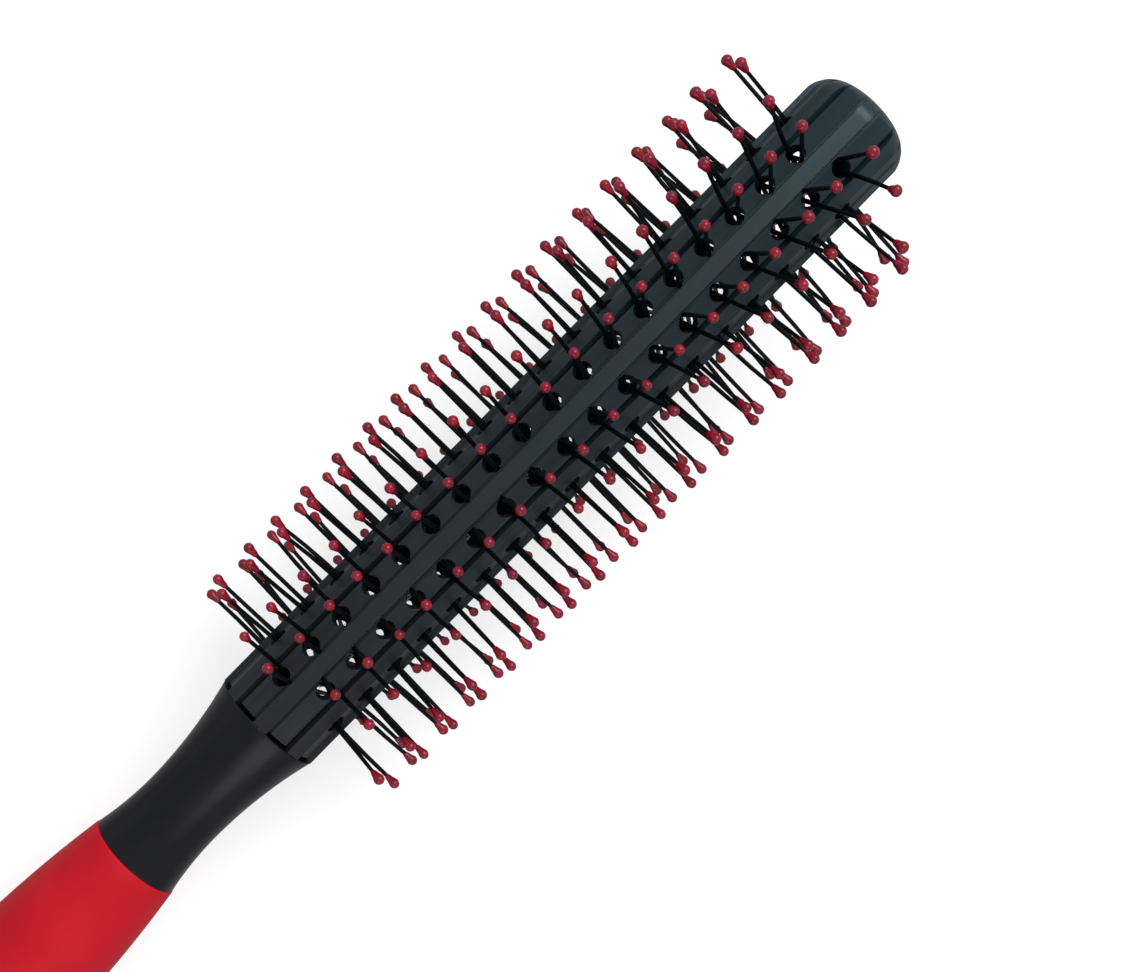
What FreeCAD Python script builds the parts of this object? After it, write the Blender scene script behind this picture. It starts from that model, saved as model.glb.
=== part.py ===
import FreeCAD, Part
import math
import os

# Round vent brush for styling hair, lying along X with its tip at +X and one barrel rib straight up.
# A ribbed hollow barrel carries eight rows of holes. Pairs of ball-tipped bristles stand out of the
# holes, held by a twisted pair of stem wires on the barrel's axis. The barrel plugs onto a waisted
# neck, whose tang fills a soft grip with a hole to hang it by.
#
# There are 144 holes and 288 bristles, so the solids are flat-sided to keep their facets few: eight
# sides to a hole, three to a bristle, four to a ball tip and TURN_SIDES round a turned piece.

Vector = FreeCAD.Vector
AXIS = Vector(1, 0, 0)

# ---- Driving dimensions, in millimetres and degrees ----

ROWS = 8                    # rows of holes round the barrel, with a rib between each two
HOLES_PER_ROW = 18
hole_pitch = 5.8            # from hole to hole along a row; the next row is half a pitch further on
first_hole = 6.9            # from the barrel's open end to the first hole
hole_width = 2.7
tip_run = 10.8              # from the last hole to the closed end

flat_radius = 7.6           # from the axis to the flats that hold the holes
rib_radius = 8.35           # from the axis to the top of a rib
rib_width = 2.45
barrel_wall = 1.9
seam_notch = 0.5            # the flats stop this far short of the neck, which only the ribs meet
tip_wall = 4.0
tip_corner = 5.4            # radius of the rounded closed end

bristle_reach = 19.7        # from the axis to the end of a ball tip
bristle_radius = 0.5        # from a bristle's middle to its corners
fan_angle = 8.8             # each bristle of a pair leans this far from the middle of its hole
ball_length = 2.0
ball_radius = 0.95          # from a ball tip's middle to its corners
ball_crown = 0.75           # from a ball tip's widest place to its end

wire_radius = 0.8           # one of the two stem wires
stem_socket_depth = 2.0     # how deep the stem's ends sit in the spigot and in the closed end

neck_length = 26.5
neck_end_radius = 8.3       # where the neck meets the barrel
waist_radius = 6.15
waist_place = 17.0          # from the barrel to the narrowest place of the neck
neck_seam_radius = 7.1      # where the neck meets the grip
spigot_length = 4.4         # the plug on the neck that fits in the barrel
tang_length = 62.0
tang_radius = 5.0
tang_tip_radius = 4.0

grip_length = 90.0
grip_seam_radius = 7.2
grip_swell_radius = 9.3     # the fullest place of the grip
grip_swell_place = 28.0     # from the seam to the fullest place
grip_tail_radius = 7.4      # where the rounded end starts
grip_end_corner = 5.0
hang_hole_radius = 2.5
hang_hole_place = 9.0       # from the grip's end to the middle of the hole

TURN_SIDES = 24
ROUND_STEPS = 4             # straight runs in the outline of a rounded end

# ---- Clearances ----

fit_gap = 0.15              # round the spigot, the tang and the stem's ends
end_gap = 0.3               # at the bottom of a blind bore
seat_gap = 0.12             # between a bristle and a stem wire, or its neighbour

# ---- Derived places: X runs along the brush, and the origin is halfway along it ----

row_step = 360.0 / ROWS
row_stagger = hole_pitch / 2
barrel_length = first_hole + (HOLES_PER_ROW - 1) * hole_pitch + row_stagger + tip_run
tip_x = (barrel_length + neck_length + grip_length) / 2
barrel_x = tip_x - barrel_length
seam_x = barrel_x - neck_length
grip_end_x = seam_x - grip_length
first_hole_x = barrel_x + first_hole

bore_flat = flat_radius - barrel_wall
bore_end_x = tip_x - tip_wall
spigot_end_x = barrel_x + spigot_length

bristle_half_side = bristle_radius * math.sin(math.pi / 3)
wire_offset = wire_radius + bristle_half_side + seat_gap / 2
stem_radius = wire_offset + wire_radius
stem_start_x = spigot_end_x - stem_socket_depth
stem_end_x = bore_end_x + stem_socket_depth
socket_radius = stem_radius + fit_gap


# ---- Shapes that several pieces share ----

def at(x, angle, radius):
    """The point at this place along the brush, this far from its axis, this many degrees from +Z."""
    turn = math.radians(angle)
    return Vector(x, radius * math.sin(turn), radius * math.cos(turn))


def ring(centre, first, second, radius, sides, start=0.5):
    """Corners of a regular polygon round a centre, in the plane of two unit directions."""
    points = []
    for k in range(sides):
        turn = 2 * math.pi * (k + start) / sides
        points.append(centre + first * (radius * math.cos(turn)) + second * (radius * math.sin(turn)))
    return points


def face_of(points):
    return Part.Face(Part.makePolygon(points + points[:1]))


def rod(points, along):
    """A straight rod whose section is the polygon through these points."""
    return face_of(points).extrude(along)


def stack(rings, tip=None, split=False):
    """A flat-sided solid through a row of rings of corners, which a tip point may close."""
    faces = [face_of(rings[0])]
    sides = len(rings[0])
    for near, far in zip(rings, rings[1:]):
        for k in range(sides):
            n = (k + 1) % sides
            if split:
                faces.append(face_of([near[k], near[n], far[k]]))
                faces.append(face_of([near[n], far[n], far[k]]))
            else:
                faces.append(face_of([near[k], near[n], far[n], far[k]]))
    last = rings[-1]
    if tip is None:
        faces.append(face_of(last))
    else:
        faces += [face_of([last[k], last[(k + 1) % sides], tip]) for k in range(sides)]
    return Part.makeSolid(Part.makeShell(faces))


def turned(outline):
    """A flat-sided turned solid from a row of (x, radius) points. Its ends are flat discs."""
    up = Vector(0, 0, 1)
    across = Vector(0, 1, 0)
    return stack([ring(AXIS * x, up, across, radius, TURN_SIDES) for x, radius in outline])


def level_arc(foot, run, rise, steps):
    """Points on an arc that is level at its foot and ends this far along and this far up."""
    radius = (run * run + rise * rise) / (2 * abs(rise))
    whole = math.asin(abs(run) / radius)
    points = []
    for k in range(steps + 1):
        turn = whole * k / steps
        along = math.copysign(radius * math.sin(turn), run)
        up = math.copysign(radius * (1 - math.cos(turn)), rise)
        points.append((foot[0] + along, foot[1] + up))
    return points


def rounded_end(x, radius, corner, facing):
    """Points on a quarter circle that rounds an end off. facing is +1 or -1 along X."""
    points = []
    for k in range(ROUND_STEPS + 1):
        turn = math.pi / 2 * k / ROUND_STEPS
        inset = corner * (1 - math.sin(turn))
        points.append((x - facing * inset, radius - corner * (1 - math.cos(turn))))
    return points


def eight_sided_rod(flat, start_x, end_x):
    """A rod along X with eight flats this far from the axis, facing the rows of holes."""
    corner = flat / math.cos(math.pi / ROWS)
    points = [at(start_x, k * row_step, corner) for k in range(ROWS)]
    return rod(points, AXIS * (end_x - start_x))


def row_angle(row):
    return (row + 0.5) * row_step


def hole_x(row, hole):
    """Place of a hole along the brush. Every second row is half a pitch further on."""
    return first_hole_x + hole * hole_pitch + (row % 2) * row_stagger


# ---- Barrel ----

def ribbed_rod():
    """The barrel's outside before its end is rounded: eight flats with a rib over each corner."""
    ribs = []
    for k in range(ROWS):
        angle = k * row_step
        side = at(0, angle + 90, rib_width / 2)
        low = at(barrel_x, angle, bore_flat)
        high = at(barrel_x, angle, rib_radius)
        ribs.append(rod([low - side, high - side, high + side, low + side], AXIS * barrel_length))
    return eight_sided_rod(flat_radius, barrel_x + seam_notch, tip_x).fuse(ribs).removeSplitter()


def end_rounder():
    """What is left outside the rounded closed end, which starts at the ribs' outer corners."""
    rim = math.hypot(rib_radius, rib_width / 2) / math.cos(math.pi / TURN_SIDES)
    block_x = tip_x - tip_corner
    block = turned([(block_x, rim + tip_corner), (tip_x + tip_corner, rim + tip_corner)])
    return block.cut(turned(rounded_end(tip_x, rim, tip_corner, 1)))


def holes_of_row(row):
    outward = at(0, row_angle(row), 1)
    across = at(0, row_angle(row) + 90, 1)
    corner = hole_width / 2 / math.cos(math.pi / 8)
    inside = outward * (bore_flat - barrel_wall)
    cutters = []
    for hole in range(HOLES_PER_ROW):
        centre = AXIS * hole_x(row, hole) + inside
        cutters.append(rod(ring(centre, AXIS, across, corner, 8), outward * (3 * barrel_wall)))
    return cutters


def barrel():
    body = ribbed_rod().cut(end_rounder())
    bore = eight_sided_rod(bore_flat, barrel_x, bore_end_x)
    socket = Part.makeCylinder(socket_radius, stem_socket_depth + end_gap, AXIS * bore_end_x, AXIS)
    cutters = [bore, socket]
    for row in range(ROWS):
        cutters += holes_of_row(row)
    return body.cut(Part.makeCompound(cutters))


# ---- Stem: two wires twisted about each other, which clamp the bristles ----

def stem_wire(side):
    """One wire. It turns by one row from hole to hole, so it faces a row wherever a hole is."""
    twist = row_step / row_stagger
    steps = math.ceil((stem_end_x - stem_start_x) / row_stagger)
    step = (stem_end_x - stem_start_x) / steps
    rings = []
    for k in range(steps + 1):
        x = stem_start_x + k * step
        facing = row_angle(0) + side - twist * (x - first_hole_x)
        outward = at(0, facing, 1)
        across = at(0, facing + 90, 1)
        rings.append(ring(at(x, facing, wire_offset), outward, across, wire_radius, 6))
    return stack(rings, split=True)


# ---- Bristles and their ball tips ----

def is_clamped(row, hole):
    """True where the wires stand to either side of the bristle, so that it passes between them."""
    return ((row + 1) // 2 + hole) % 2 == 1


def bristle_and_ball(row, hole, side):
    """One bristle of the pair in a hole, and its tip. side is -1 or +1."""
    x = hole_x(row, hole) + side * (bristle_radius / 2 + seat_gap / 2)
    angle = row_angle(row) + side * fan_angle
    outward = at(0, angle, 1)
    across = at(0, angle + 90, 1)
    along = AXIS * side
    foot = seat_gap if is_clamped(row, hole) else stem_radius + seat_gap
    end = bristle_reach - ball_length
    bristle = rod(ring(at(x, angle, foot), along, across, bristle_radius, 3, 0), outward * (end - foot))
    base = ring(at(x, angle, end), along, across, bristle_radius, 4)
    widest = ring(at(x, angle, bristle_reach - ball_crown), along, across, ball_radius, 4)
    return bristle, stack([base, widest], tip=at(x, angle, bristle_reach))


def bristle_row(row):
    pairs = [
        bristle_and_ball(row, hole, side) for hole in range(HOLES_PER_ROW) for side in (-1, 1)
    ]
    bristles, balls = zip(*pairs)
    return Part.makeCompound(bristles), Part.makeCompound(balls)


# ---- Neck ----

def tang(gap, length):
    """The tapered bar inside the grip, whose flats stop the grip from turning on it."""
    points = [(seam_x - length, tang_tip_radius + gap), (seam_x, tang_radius + gap)]
    up = Vector(0, 0, 1)
    across = Vector(0, 1, 0)
    return stack([ring(AXIS * x, up, across, radius, 8) for x, radius in points])


def neck():
    """The waisted neck, with the spigot that the barrel plugs onto and the tang inside the grip."""
    waist = (barrel_x - waist_place, waist_radius)
    to_seam = level_arc(waist, waist_place - neck_length, neck_seam_radius - waist_radius, 3)
    to_barrel = level_arc(waist, waist_place, neck_end_radius - waist_radius, 4)
    body = turned(to_seam[::-1] + to_barrel[1:])
    spigot = eight_sided_rod(bore_flat - fit_gap, barrel_x, spigot_end_x)
    socket_x = stem_start_x - end_gap
    socket = Part.makeCylinder(socket_radius, spigot_end_x - socket_x, AXIS * socket_x, AXIS)
    return body.fuse([spigot, tang(0, tang_length)]).cut(socket).removeSplitter()


# ---- Grip ----

def grip():
    """The soft sleeve over the tang, fullest where the palm lies, with a hole through its tail."""
    swell = (seam_x - grip_swell_place, grip_swell_radius)
    tail_x = grip_end_x + grip_end_corner
    to_seam = level_arc(swell, grip_swell_place, grip_seam_radius - grip_swell_radius, 4)
    to_tail = level_arc(swell, tail_x - swell[0], grip_tail_radius - grip_swell_radius, 4)
    end = rounded_end(grip_end_x, grip_tail_radius, grip_end_corner, -1)
    body = turned(to_seam[::-1] + to_tail[1:] + end[1:])
    hole_start = Vector(grip_end_x + hang_hole_place, 0, -grip_swell_radius)
    hole = Part.makeCylinder(hang_hole_radius, 2 * grip_swell_radius, hole_start)
    return body.cut([tang(fit_gap, tang_length + end_gap), hole])


# ---- One file for each piece ----

def export(name, shape):
    shape.exportStep("parts/" + name + ".step")


def main():
    os.makedirs("parts", exist_ok=True)
    export("barrel", barrel())
    export("neck", neck())
    export("grip", grip())
    export("stem_wire_a", stem_wire(0))
    export("stem_wire_b", stem_wire(180))
    for row in range(ROWS):
        bristles, balls = bristle_row(row)
        export("bristles_row_" + str(row + 1), bristles)
        export("ball_tips_row_" + str(row + 1), balls)


main()
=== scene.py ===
import math
import random

import bmesh
import bpy
from mathutils import Matrix, Vector


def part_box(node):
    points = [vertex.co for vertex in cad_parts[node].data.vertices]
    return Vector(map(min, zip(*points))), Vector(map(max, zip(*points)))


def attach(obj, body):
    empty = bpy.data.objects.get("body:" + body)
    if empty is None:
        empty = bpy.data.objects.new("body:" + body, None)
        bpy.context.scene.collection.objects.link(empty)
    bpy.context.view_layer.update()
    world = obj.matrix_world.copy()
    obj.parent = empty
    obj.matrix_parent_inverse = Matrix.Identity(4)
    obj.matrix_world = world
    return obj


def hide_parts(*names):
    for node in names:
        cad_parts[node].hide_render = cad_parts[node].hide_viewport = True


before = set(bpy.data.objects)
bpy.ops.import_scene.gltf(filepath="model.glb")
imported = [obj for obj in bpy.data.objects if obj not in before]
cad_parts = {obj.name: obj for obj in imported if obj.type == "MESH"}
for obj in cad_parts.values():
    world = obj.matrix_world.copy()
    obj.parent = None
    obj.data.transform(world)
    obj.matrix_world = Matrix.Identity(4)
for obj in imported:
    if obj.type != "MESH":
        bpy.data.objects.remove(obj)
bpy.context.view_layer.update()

# Stem. Two steel wires are twisted about each other along the barrel's axis. They are cut from
# drawn wire and pinch the bristles between them, so that a row of holes comes round every step.

mm = 0.001
along_brush = Vector((1, 0, 0))
rows = 8
row_step = 2 * math.pi / rows
holes_per_row = 18
hole_pitch = 5.8 * mm
barrel_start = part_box("barrel")[0].x
barrel_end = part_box("barrel")[1].x
first_hole = barrel_start + 6.9 * mm

wire_radius = 0.8 * mm
wire_offset = 1.29 * mm
wire_turn_per_step = math.radians(15)
wire_travel_per_step = hole_pitch / 2 * wire_turn_per_step / row_step


def toward(angle):
    """Unit direction square to the brush, this far round from straight up towards +Y."""
    return Vector((0, math.sin(angle), math.cos(angle)))


def variation_group():
    """Moulding marks: broad patches of tone, fine grain, and a roughness that follows both."""
    group = bpy.data.node_groups.new("moulding_marks", "ShaderNodeTree")
    for way, socket, kind in (
        ("INPUT", "Colour", "Color"),
        ("INPUT", "Patch Colour", "Color"),
        ("INPUT", "Patch Scale", "Float"),
        ("INPUT", "Grain Scale", "Float"),
        ("INPUT", "Roughness", "Float"),
        ("INPUT", "Roughness Spread", "Float"),
        ("INPUT", "Flow", "Vector"),
        ("OUTPUT", "Colour", "Color"),
        ("OUTPUT", "Roughness", "Float"),
        ("OUTPUT", "Height", "Float"),
    ):
        group.interface.new_socket(socket, in_out=way, socket_type="NodeSocket" + kind)
    add, link = group.nodes.new, group.links.new
    given, made = add("NodeGroupInput"), add("NodeGroupOutput")
    place = add("ShaderNodeTexCoord")
    drawn_out = add("ShaderNodeVectorMath")
    drawn_out.operation = "MULTIPLY"
    link(place.outputs["Object"], drawn_out.inputs[0])
    link(given.outputs["Flow"], drawn_out.inputs[1])
    patches, grain = add("ShaderNodeTexNoise"), add("ShaderNodeTexNoise")
    patches.inputs["Detail"].default_value = 4
    grain.inputs["Detail"].default_value = 3
    for noise, scale in ((patches, "Patch Scale"), (grain, "Grain Scale")):
        link(drawn_out.outputs["Vector"], noise.inputs["Vector"])
        link(given.outputs[scale], noise.inputs["Scale"])
    spread = add("ShaderNodeMapRange")
    spread.inputs["From Min"].default_value = 0.35
    spread.inputs["From Max"].default_value = 0.65
    link(patches.outputs["Fac"], spread.inputs["Value"])
    tone = add("ShaderNodeMix")
    tone.data_type = "RGBA"
    link(spread.outputs["Result"], tone.inputs["Factor"])
    link(given.outputs["Colour"], tone.inputs["A"])
    link(given.outputs["Patch Colour"], tone.inputs["B"])
    link(tone.outputs["Result"], made.inputs["Colour"])
    roughness = given.outputs["Roughness"]
    for mask in (grain.outputs["Fac"], spread.outputs["Result"]):
        rougher = add("ShaderNodeMath")
        rougher.operation = "MULTIPLY_ADD"
        link(mask, rougher.inputs[0])
        link(given.outputs["Roughness Spread"], rougher.inputs[1])
        link(roughness, rougher.inputs[2])
        roughness = rougher.outputs["Value"]
    link(roughness, made.inputs["Roughness"])
    link(grain.outputs["Fac"], made.inputs["Height"])
    return group


moulding_marks = variation_group()


def finish_of(name, colour, patch_colour, patch, grain, roughness, spread, bump, flow=1, **fixed):
    """A material with moulding marks: patch and grain are their sizes, flow their length to width."""
    material = bpy.data.materials.new(name)
    material.use_nodes = True
    nodes, link = material.node_tree.nodes, material.node_tree.links.new
    shader = nodes["Principled BSDF"]
    marks = nodes.new("ShaderNodeGroup")
    marks.node_tree = moulding_marks
    marks.inputs["Colour"].default_value = (*colour, 1)
    marks.inputs["Patch Colour"].default_value = (*patch_colour, 1)
    marks.inputs["Patch Scale"].default_value = 1 / patch
    marks.inputs["Grain Scale"].default_value = 1 / grain
    marks.inputs["Roughness"].default_value = roughness - spread
    marks.inputs["Roughness Spread"].default_value = spread
    marks.inputs["Flow"].default_value = (1 / flow, 1, 1)
    relief = nodes.new("ShaderNodeBump")
    relief.inputs["Strength"].default_value = 0.5
    relief.inputs["Distance"].default_value = bump
    link(marks.outputs["Colour"], shader.inputs["Base Color"])
    link(marks.outputs["Roughness"], shader.inputs["Roughness"])
    link(marks.outputs["Height"], relief.inputs["Height"])
    link(relief.outputs["Normal"], shader.inputs["Normal"])
    for socket, value in fixed.items():
        shader.inputs[socket.replace("_", " ")].default_value = value
    return material


def piece_from(bm, name, material, nodes, crease=35):
    """A smooth piece that rides on the brush and stands for CAD nodes. Edges over crease are crisp."""
    bmesh.ops.remove_doubles(bm, verts=bm.verts, dist=0.002 * mm)
    bmesh.ops.recalc_face_normals(bm, faces=bm.faces)
    mesh = bpy.data.meshes.new(name)
    bm.to_mesh(mesh)
    bm.free()
    mesh.shade_smooth()
    mesh.set_sharp_from_angle(angle=math.radians(crease))
    mesh.materials.append(material)
    piece = bpy.data.objects.new(name, mesh)
    bpy.context.collection.objects.link(piece)
    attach(piece, "root")
    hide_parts(*nodes)
    return piece


drawn_steel = finish_of(
    "drawn_steel", (0.55, 0.56, 0.58), (0.42, 0.43, 0.45), 4 * mm, 0.2 * mm, 0.32, 0.06, 0.004 * mm,
    Metallic=1.0,
)

for letter, side in (("a", 0), ("b", math.pi)):
    wire_node = "stem_wire_" + letter
    wire_start, wire_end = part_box(wire_node)[0].x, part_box(wire_node)[1].x
    facing = row_step / 2 + side - (wire_start - first_hole) / (hole_pitch / 2) * row_step
    middle = along_brush * wire_start + toward(facing) * wire_offset
    bm = bmesh.new()
    bmesh.ops.create_circle(
        bm, cap_ends=True, segments=12, radius=wire_radius,
        matrix=Matrix.Translation(middle) @ Matrix.Rotation(math.pi / 2, 4, "Y"),
    )
    turns = math.floor((wire_end - wire_start) / wire_travel_per_step)
    bmesh.ops.spin(
        bm, geom=bm.verts[:] + bm.edges[:] + bm.faces[:], cent=(0, 0, 0), axis=along_brush,
        dvec=along_brush * wire_travel_per_step, angle=turns * wire_turn_per_step, steps=turns,
        use_duplicate=False,
    )
    piece_from(bm, "twisted_wire_" + letter, drawn_steel, [wire_node])

# Bristles. Each hole holds a pair of round nylon filaments that lean apart against its edges. They
# were cut from one coil, so each has its own slight bend, and they thin a little towards the tip.

filament_root = 0.37 * mm
filament_top = 0.29 * mm
filament_sides = 8
filament_bend = 0.35 * mm
bristle_reach = 19.7 * mm
drop_length = 2.55 * mm
drop_hold = 0.2 * mm
fan = math.radians(8.8)
pair_gap = 0.12 * mm
lean_along = math.radians(1.0)
lean_round = math.radians(1.0)
pressed_rows = {0: math.radians(0.3), 7: math.radians(2.0)}
pressed_first = math.radians(5.0)
pressed_holes = 5
stem_radius = wire_offset + wire_radius

black_nylon = finish_of(
    "black_nylon", (0.001, 0.0018, 0.0024), (0.0015, 0.0028, 0.0034), 3 * mm, 0.3 * mm, 0.36, 0.05,
    0.004 * mm, Specular_IOR_Level=0.06,
)

chance = random.Random(7)


def bristle_frames(row):
    """For each bristle of a row: where its axis starts, and the turn that stands it on +Z."""
    frames = []
    for hole in range(holes_per_row):
        x = first_hole + (hole + row % 2 / 2) * hole_pitch
        for side in (-1, 1):
            angle = (row + 0.5) * row_step + side * fan + chance.uniform(-lean_round, lean_round)
            lean = chance.uniform(-lean_along, lean_along)
            if row in pressed_rows:
                lean += pressed_rows[row] + pressed_first * max(0, 1 - hole / pressed_holes)
            start = Matrix.Translation((x + side * pair_gap, 0, 0))
            turn = Matrix.Rotation(-angle, 4, "X") @ Matrix.Rotation(lean, 4, "Y")
            spin = Matrix.Rotation(chance.uniform(0, 2 * math.pi), 4, "Z")
            frames.append(start @ turn @ spin)
    return frames


all_frames = [bristle_frames(row) for row in range(rows)]
length = bristle_reach - drop_length + drop_hold - stem_radius

for row, frames in enumerate(all_frames):
    bm = bmesh.new()
    for stand in frames:
        before = len(bm.verts)
        made = bmesh.ops.create_cone(
            bm, cap_ends=True, segments=filament_sides, radius1=filament_root,
            radius2=filament_top, depth=length,
        )
        upright = {
            edge for vert in made["verts"] for edge in vert.link_edges
            if abs(edge.verts[0].co.z - edge.verts[1].co.z) > length / 2
        }
        bmesh.ops.subdivide_edges(bm, edges=list(upright), cuts=3)
        bm.verts.ensure_lookup_table()
        verts = bm.verts[before:]
        bend = filament_bend * chance.uniform(-1, 1)
        for vert in verts:
            share = vert.co.z / length + 0.5
            vert.co.x += bend * 4 * share * (1 - share)
        place = stand @ Matrix.Translation((0, 0, stem_radius + length / 2))
        bmesh.ops.transform(bm, matrix=place, verts=verts)
    number = str(row + 1)
    piece_from(bm, "filaments_" + number, black_nylon, ["bristles_row_" + number], 50)

# Ball tips. Each bristle's end is dipped in red resin, which pulls into a drop: a round head and a
# tail that wets down the filament. The skin is glossy, and no two drops are quite alike.

drop_radius = 0.74 * mm
head_height = 0.80 * mm
tail_length = drop_length - head_height
tail_pull = 0.24
fuller_at_tip = 0.45

red_resin = finish_of(
    "red_resin", (0.29, 0.003, 0.021), (0.14, 0.002, 0.014), 1.6 * mm, 0.25 * mm, 0.22, 0.05,
    0.004 * mm, Specular_IOR_Level=0.28,
)

for row, frames in enumerate(all_frames):
    bm = bmesh.new()
    for count, stand in enumerate(frames):
        made = bmesh.ops.create_uvsphere(bm, u_segments=10, v_segments=8, radius=drop_radius)
        swell = chance.uniform(0.92, 1.06) * (1 + fuller_at_tip * max(0, count / len(frames) - 0.5))
        for vert in made["verts"]:
            height = vert.co.z / drop_radius
            if height > 0:
                vert.co.z = height * head_height
                vert.co.xy *= swell
            else:
                vert.co.z = height * tail_length
                slim = 1 - tail_pull * math.sin(math.pi * min(1, -height * 1.1) / 1.1)
                vert.co.xy *= swell * slim
        place = stand @ Matrix.Translation((0, 0, bristle_reach - head_height))
        bmesh.ops.transform(bm, matrix=place, verts=made["verts"])
    number = str(row + 1)
    piece_from(bm, "drops_" + number, red_resin, ["ball_tips_row_" + number], 80)

# Barrel. One stiff satin moulding, a tube with eight flats and a rib over each corner, closed by a
# rounded tip. The holes through its flats have a fine lead-in where the mould's pins entered.

panel_flat = 7.6 * mm
rib_top = 8.35 * mm
rib_half = 1.225 * mm
bore_flat = 5.7 * mm
rib_edge = 0.14 * mm
groove_width = 0.42 * mm
groove_depth = 0.60 * mm
narrowest_flat = 1.3 * mm
tip_corner = 4.1 * mm
tip_corner_steps = 14
tip_trim = 0.8 * mm
tip_wall = 4.0 * mm
hole_radius = 1.35 * mm
hole_lead = 0.09 * mm
overshoot = 1.0 * mm
seam_notch = 0.5 * mm
notch_half = 1.8 * mm
seam_edge = 0.12 * mm
# Painted light: these tints shift the barrel's colour along its length. It is warmed to neutral near
# the neck and made lighter and tealer towards the tip, standing in for the light's colour cast and for
# more light falling from the tip side.
painted_light_at_neck = (0.0075, 0.0003, 0.0010)
painted_light_at_tip = (0.0030, 0.0070, 0.0100)

satin_barrel = finish_of(
    "satin_barrel", (0.0035, 0.0125, 0.0160), (0.0008, 0.0045, 0.0062), 1.8 * mm, 0.20 * mm, 0.36,
    0.07, 0.012 * mm, flow=9, Specular_IOR_Level=0.24, Specular_Tint=(0.80, 0.95, 1.0, 1),
)


def paint_light_along(material, start, end, painted_light_at_start, painted_light_at_end):
    """Adds painted light to a material's colour: a tint that changes along the brush from start to
    end.
    """
    nodes, link = material.node_tree.nodes, material.node_tree.links.new
    place, split = nodes.new("ShaderNodeTexCoord"), nodes.new("ShaderNodeSeparateXYZ")
    share = nodes.new("ShaderNodeMapRange")
    share.inputs["From Min"].default_value = start
    share.inputs["From Max"].default_value = end
    tint, tinted = nodes.new("ShaderNodeMix"), nodes.new("ShaderNodeMix")
    tint.data_type = tinted.data_type = "RGBA"
    tint.inputs["A"].default_value = (*painted_light_at_start, 1)
    tint.inputs["B"].default_value = (*painted_light_at_end, 1)
    tinted.blend_type = "ADD"
    tinted.inputs["Factor"].default_value = 1
    colour = nodes["Principled BSDF"].inputs["Base Color"]
    link(place.outputs["Object"], split.inputs["Vector"])
    link(split.outputs["X"], share.inputs["Value"])
    link(share.outputs["Result"], tint.inputs["Factor"])
    link(colour.links[0].from_socket, tinted.inputs["A"])
    link(tint.outputs["Result"], tinted.inputs["B"])
    link(tinted.outputs["Result"], colour)


# Paints the light's colour cast and the brighter tip into the barrel's colour, from the neck to the
# tip.
paint_light_along(satin_barrel, barrel_start, barrel_end, painted_light_at_neck, painted_light_at_tip)


def cut_away(piece, cutter):
    """Cuts the bmesh cutter out of a piece and leaves no modifier behind."""
    bmesh.ops.recalc_face_normals(cutter, faces=cutter.faces)
    mesh = bpy.data.meshes.new("cutter")
    cutter.to_mesh(mesh)
    cutter.free()
    tool = bpy.data.objects.new("cutter", mesh)
    bpy.context.collection.objects.link(tool)
    cut = piece.modifiers.new("cut", "BOOLEAN")
    cut.object = tool
    cut.solver = "MANIFOLD"
    drawn = piece.evaluated_get(bpy.context.evaluated_depsgraph_get())
    whole = bpy.data.meshes.new_from_object(drawn)
    piece.modifiers.clear()
    piece.data = whole
    bpy.data.objects.remove(tool)


def octagon_rod(flat, start, end):
    """A bmesh rod along the brush with eight flats that face the rows of holes."""
    bm = bmesh.new()
    bmesh.ops.create_cone(
        bm, cap_ends=True, segments=rows, radius1=flat / math.cos(row_step / 2),
        radius2=flat / math.cos(row_step / 2), depth=end - start,
        matrix=Matrix.Translation(((start + end) / 2, 0, 0)) @ Matrix.Rotation(math.pi / 2, 4, "Y"),
    )
    return bm


bm = bmesh.new()
corner_x, corner_z = math.sin(row_step / 2), math.cos(row_step / 2)
groove_side = rib_half + groove_width
panel_edge = (panel_flat - groove_side * corner_x) / corner_z
half = [(panel_flat * corner_x, panel_flat * corner_z), (groove_side, panel_edge),
        (groove_side, panel_edge - groove_depth), (rib_half, panel_edge - groove_depth),
        (rib_half, rib_top)]
outline = half + [(-y, z) for y, z in half[::-1]]
points = [bm.verts.new((barrel_start, y, z)) for y, z in outline]
for near, far in zip(points, points[1:]):
    bm.edges.new((near, far))
bmesh.ops.bevel(
    bm, geom=points[4:6], offset=rib_edge, segments=2, profile=0.5, affect="VERTICES", material=-1,
)
flats = [edge for edge in bm.edges if edge.calc_length() > narrowest_flat]
bmesh.ops.subdivide_edges(bm, edges=flats, cuts=3)
bmesh.ops.spin(
    bm, geom=bm.verts[:] + bm.edges[:], cent=(0, 0, 0), axis=along_brush, dvec=(0, 0, 0),
    angle=2 * math.pi - row_step, steps=rows - 1, use_duplicate=True,
)
bmesh.ops.remove_doubles(bm, verts=bm.verts, dist=0.002 * mm)
ring = bm.edges[:]
bmesh.ops.contextual_create(bm, geom=ring)
rim = math.hypot(rib_top, rib_half)
stations = [(barrel_start + seam_edge, rim)]
for k in range(tip_corner_steps + 1):
    turn = math.pi / 2 * k / tip_corner_steps
    stations.append((
        barrel_end - tip_trim - tip_corner * (1 - math.sin(turn)),
        rim - tip_corner * (1 - math.cos(turn)),
    ))
for vert in bm.verts:
    vert.co.yz *= 1 - seam_edge / rim
for x, limit in stations:
    grown = bmesh.ops.extrude_edge_only(bm, edges=ring)
    ring = [item for item in grown["geom"] if isinstance(item, bmesh.types.BMEdge)]
    for vert in {vert for edge in ring for vert in edge.verts}:
        if x == stations[0][0]:
            vert.co.yz /= 1 - seam_edge / rim
        vert.co.x = x
        radius = math.hypot(vert.co.y, vert.co.z)
        vert.co.yz *= min(1, limit / radius)
bmesh.ops.contextual_create(bm, geom=ring)
barrel = piece_from(bm, "vent_barrel", satin_barrel, ["barrel"], 15)

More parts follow.
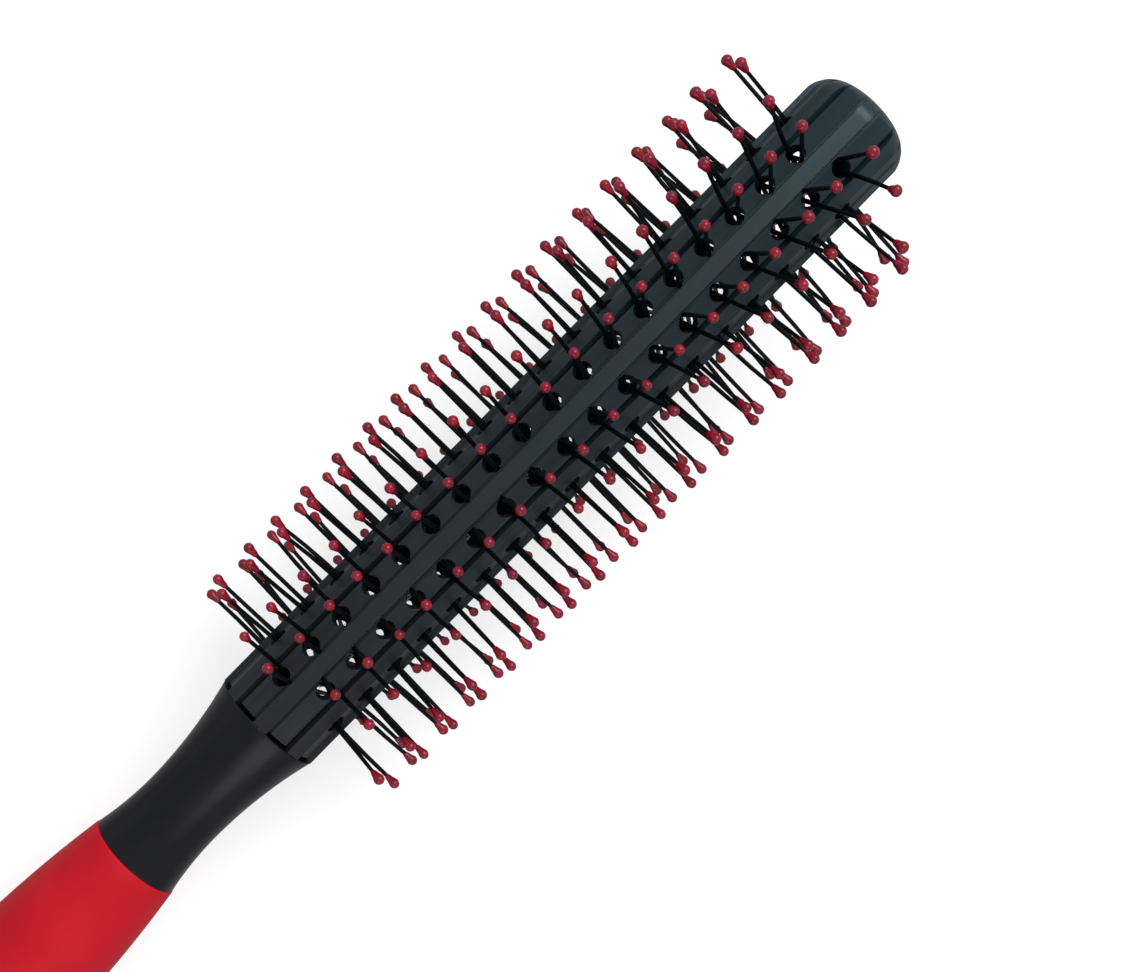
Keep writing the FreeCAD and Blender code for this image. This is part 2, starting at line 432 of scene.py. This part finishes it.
cut_away(barrel, octagon_rod(bore_flat, barrel_start - overshoot, barrel_end - tip_wall))
bm = bmesh.new()
for row in range(rows):
    outward = Matrix.Rotation(-(row + 0.5) * row_step, 4, "X")
    for hole in range(holes_per_row):
        x = first_hole + (hole + row % 2 / 2) * hole_pitch
        stand = Matrix.Translation((x, 0, 0)) @ outward
        made = bmesh.ops.create_circle(
            bm, segments=28, radius=hole_radius,
            matrix=stand @ Matrix.Translation((0, 0, bore_flat - overshoot)), cap_ends=True,
        )
        ring = list({edge for vert in made["verts"] for edge in vert.link_edges})
        for height, radius in (
            (panel_flat - hole_lead, hole_radius),
            (panel_flat, hole_radius + hole_lead),
            (panel_flat + overshoot / 2, hole_radius + hole_lead),
        ):
            grown = bmesh.ops.extrude_edge_only(bm, edges=ring)
            ring = [item for item in grown["geom"] if isinstance(item, bmesh.types.BMEdge)]
            back = stand.inverted()
            for vert in {vert for edge in ring for vert in edge.verts}:
                flat_place = back @ vert.co
                flat_place.xy = flat_place.xy.normalized() * radius
                flat_place.z = height
                vert.co = stand @ flat_place
        bmesh.ops.contextual_create(bm, geom=ring)
    middle = Vector((barrel_start, 0, (bore_flat + rib_top) / 2))
    size = Vector((2 * seam_notch, 2 * notch_half, rib_top - bore_flat + overshoot))
    bmesh.ops.create_cube(
        bm, size=1, matrix=outward @ Matrix.Translation(middle) @ Matrix.Diagonal(size).to_4x4(),
    )
cut_away(barrel, bm)
barrel.data.set_sharp_from_angle(angle=math.radians(15))

# Neck. A hard black moulding with a waist for finger and thumb. Its front plugs into the barrel, and
# a bar at its back runs down inside the grip. It comes from a polished mould.

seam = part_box("grip")[1].x
waist_place = 17.0 * mm
waist_radius = 6.15 * mm
neck_front = 8.3 * mm
neck_back = 7.1 * mm
neck_edge = 0.22 * mm
spigot_radius = 5.4 * mm
tang_radius = 4.4 * mm
tang_taper = 1.0 * mm

polished_neck = finish_of(
    "polished_neck", (0.0012, 0.0015, 0.0030), (0.0045, 0.0048, 0.0070), 5 * mm, 0.35 * mm, 0.30,
    0.06, 0.006 * mm, flow=3, Specular_IOR_Level=0.15,
)


def turned(outline, rounded, amount, sides=72):
    """A bmesh turned about the brush's axis from (x, radius) points. Corners in rounded are eased."""
    bm = bmesh.new()
    points = [bm.verts.new((x, 0, radius)) for x, radius in outline]
    for near, far in zip(points, points[1:]):
        bm.edges.new((near, far))
    bmesh.ops.bevel(
        bm, geom=[points[k] for k in rounded], offset=amount, segments=4, profile=0.5,
        affect="VERTICES", material=-1,
    )
    bmesh.ops.spin(
        bm, geom=bm.verts[:] + bm.edges[:], cent=(0, 0, 0), axis=along_brush, dvec=(0, 0, 0),
        angle=2 * math.pi, steps=sides, use_merge=True,
    )
    return bm


def curve_between(start, end, steps, level_at_start):
    """(x, radius) points on a parabola between two points, level at the start or at the end."""
    points = []
    for k in range(steps + 1):
        share = k / steps
        rise = share * share if level_at_start else 1 - (1 - share) * (1 - share)
        x = start[0] + (end[0] - start[0]) * share
        points.append((x, start[1] + (end[1] - start[1]) * rise))
    return points


waist = (barrel_start - waist_place, waist_radius)
to_waist = curve_between((seam, neck_back), waist, 10, False)
from_waist = curve_between(waist, (barrel_start, neck_front), 14, True)
tang_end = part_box("neck")[0].x
spigot_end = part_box("neck")[1].x
front = [(barrel_start, spigot_radius), (spigot_end, spigot_radius), (spigot_end, 0)]
back = [(tang_end, 0), (tang_end, tang_radius - tang_taper), (seam, tang_radius)]
outline = back + to_waist + from_waist[1:] + front
rims = [len(back), len(outline) - len(front) - 1]
bm = turned(outline, rims, neck_edge)
piece_from(bm, "waisted_neck", polished_neck, ["neck"], 40)

# Grip. A soft red sleeve, moulded over the bar, that swells to fill the palm and ends in a round
# tail with a hole to hang the brush by. The rubbery skin is satin, with a very fine grain.

swell_place = 28.0 * mm
swell_radius = 9.3 * mm
grip_front = 7.2 * mm
grip_edge = 0.35 * mm
tail_radius = 7.4 * mm
tail_corner = 5.0 * mm
tail_steps = 12
hang_radius = 2.5 * mm
hang_place = 9.0 * mm
hang_edge = 0.6 * mm
hang_edge_steps = 8
hang_half = 7.70 * mm
grip_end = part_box("grip")[0].x

soft_red = finish_of(
    "soft_red", (0.53, 0.008, 0.019), (0.46, 0.006, 0.015), 12 * mm, 0.25 * mm, 0.55, 0.06,
    0.012 * mm, Specular_IOR_Level=0.14,
)

swell = (seam - swell_place, swell_radius)
tail = (grip_end + tail_corner, tail_radius)
end_round = []
for k in range(1, tail_steps + 1):
    turn = math.pi / 2 * k / tail_steps
    end_round.append((
        tail[0] - tail_corner * math.sin(turn), tail_radius - tail_corner * (1 - math.cos(turn)),
    ))
outline = [(seam, 0)] + curve_between((seam, grip_front), swell, 14, False)
outline += curve_between(swell, tail, 18, True)[1:] + end_round + [(grip_end, 0)]
bm = turned(outline, [1], grip_edge)
grip = piece_from(bm, "soft_grip", soft_red, ["grip"], 60)

bm = bmesh.new()
hang_x = grip_end + hang_place
outer_radius, outer_half = hang_radius + 2 * overshoot, hang_half + 2 * overshoot
bmesh.ops.create_circle(
    bm, cap_ends=True, segments=48, radius=outer_radius,
    matrix=Matrix.Translation((hang_x, 0, -outer_half)),
)
ring = bm.edges[:]
profile = []
for k in range(hang_edge_steps + 1):
    turn = math.pi / 2 * k / hang_edge_steps
    sunk, inward = hang_edge * (1 - math.cos(turn)), hang_edge * math.sin(turn)
    profile.append((hang_half - sunk, hang_radius + hang_edge - inward))
lower_half = [(-height, radius) for height, radius in profile]
for height, radius in lower_half + profile[::-1] + [(outer_half, outer_radius)]:
    grown = bmesh.ops.extrude_edge_only(bm, edges=ring)
    ring = [item for item in grown["geom"] if isinstance(item, bmesh.types.BMEdge)]
    for vert in {vert for edge in ring for vert in edge.verts}:
        out = Vector((vert.co.x - hang_x, vert.co.y)).normalized() * radius
        sag = hang_half - math.sqrt(hang_half ** 2 - out.y ** 2)
        vert.co = (hang_x + out.x, out.y, height - math.copysign(sag, height))
bmesh.ops.contextual_create(bm, geom=ring)
cut_away(grip, bm)
grip.data.set_sharp_from_angle(angle=math.radians(60))

# Floor, light and camera. The brush lies on its tail and on the first ball tips, so its own axis is
# tilted from the floor. The lamps are large and soft, and the background is white.

rest_x = first_hole
rest_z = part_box("ball_tips_row_5")[0].z
tail_z = -tail_radius
slope = (tail_z - rest_z) / (rest_x - tail[0])
floor_size = 1.8
floor_drop = 0.2 * mm
floor_tone = 0.45
floor_glow = 0.62
sky_level = 0.35

bpy.ops.mesh.primitive_plane_add(size=floor_size)
floor = bpy.context.object
floor.name = "floor"
floor.rotation_euler = (0, math.atan(slope), 0)
floor.location = (rest_x, 0, rest_z - floor_drop)
paper = bpy.data.materials.new("white_paper")
paper.use_nodes = True
nodes, link = paper.node_tree.nodes, paper.node_tree.links.new
shader = nodes["Principled BSDF"]
shader.inputs["Base Color"].default_value = (floor_tone, floor_tone, floor_tone, 1)
shader.inputs["Roughness"].default_value = 0.9
shader.inputs["Emission Color"].default_value = (1, 1, 1, 1)
seen = nodes.new("ShaderNodeLightPath")
lift = nodes.new("ShaderNodeMath")
lift.operation = "MULTIPLY"
lift.inputs[1].default_value = floor_glow
link(seen.outputs["Is Camera Ray"], lift.inputs[0])
link(lift.outputs["Value"], shader.inputs["Emission Strength"])
floor.data.materials.append(paper)

world = bpy.data.worlds.new("studio")
bpy.context.scene.world = world
world.use_nodes = True
nodes, link = world.node_tree.nodes, world.node_tree.links.new
sky = nodes["Background"]
sky.inputs["Color"].default_value = (1, 1, 1, 1)
seen = nodes.new("ShaderNodeLightPath")
either = nodes.new("ShaderNodeMath")
either.operation = "MAXIMUM"
lift = nodes.new("ShaderNodeMix")
lift.inputs["A"].default_value = sky_level
lift.inputs["B"].default_value = 1
link(seen.outputs["Is Camera Ray"], either.inputs[0])
link(seen.outputs["Is Glossy Ray"], either.inputs[1])
link(either.outputs["Value"], lift.inputs["Factor"])
link(lift.outputs["Result"], sky.inputs["Strength"])


def soft_lamp(name, place, aim, size, power):
    """A square area lamp of this size and power, turned to face a point."""
    light = bpy.data.lights.new(name, "AREA")
    light.size = size
    light.energy = power
    lamp = bpy.data.objects.new(name, light)
    lamp.location = place
    lamp.rotation_euler = (Vector(aim) - Vector(place)).to_track_quat("-Z", "Y").to_euler()
    bpy.context.collection.objects.link(lamp)


soft_lamp("key", (1.25, 0.10, 1.40), (0.05, 0, 0), 1.25, 34)
soft_lamp("fill", (-1.25, -1.10, 1.25), (-0.03, 0, 0), 1.25, 12)

lens = bpy.data.cameras.new("camera")
lens.sensor_width = 36
lens.lens = 53.96825
lens.shift_x = 0.0703
lens.shift_y = 0.0712
lens.clip_start = 0.01
lens.clip_end = 20
camera = bpy.data.objects.new("camera", lens)
bpy.context.collection.objects.link(camera)
turn = Matrix.Rotation(math.radians(-0.29), 4, "X") @ Matrix.Rotation(math.radians(1.72), 4, "Y")
turn = turn @ Matrix.Rotation(math.radians(-45.389), 4, "Z")
camera.matrix_world = Matrix.Translation((first_hole + 37.15 * mm, -5.43 * mm, 236.43 * mm)) @ turn
bpy.context.scene.camera = camera
bpy.context.scene.view_settings.view_transform = "Standard"
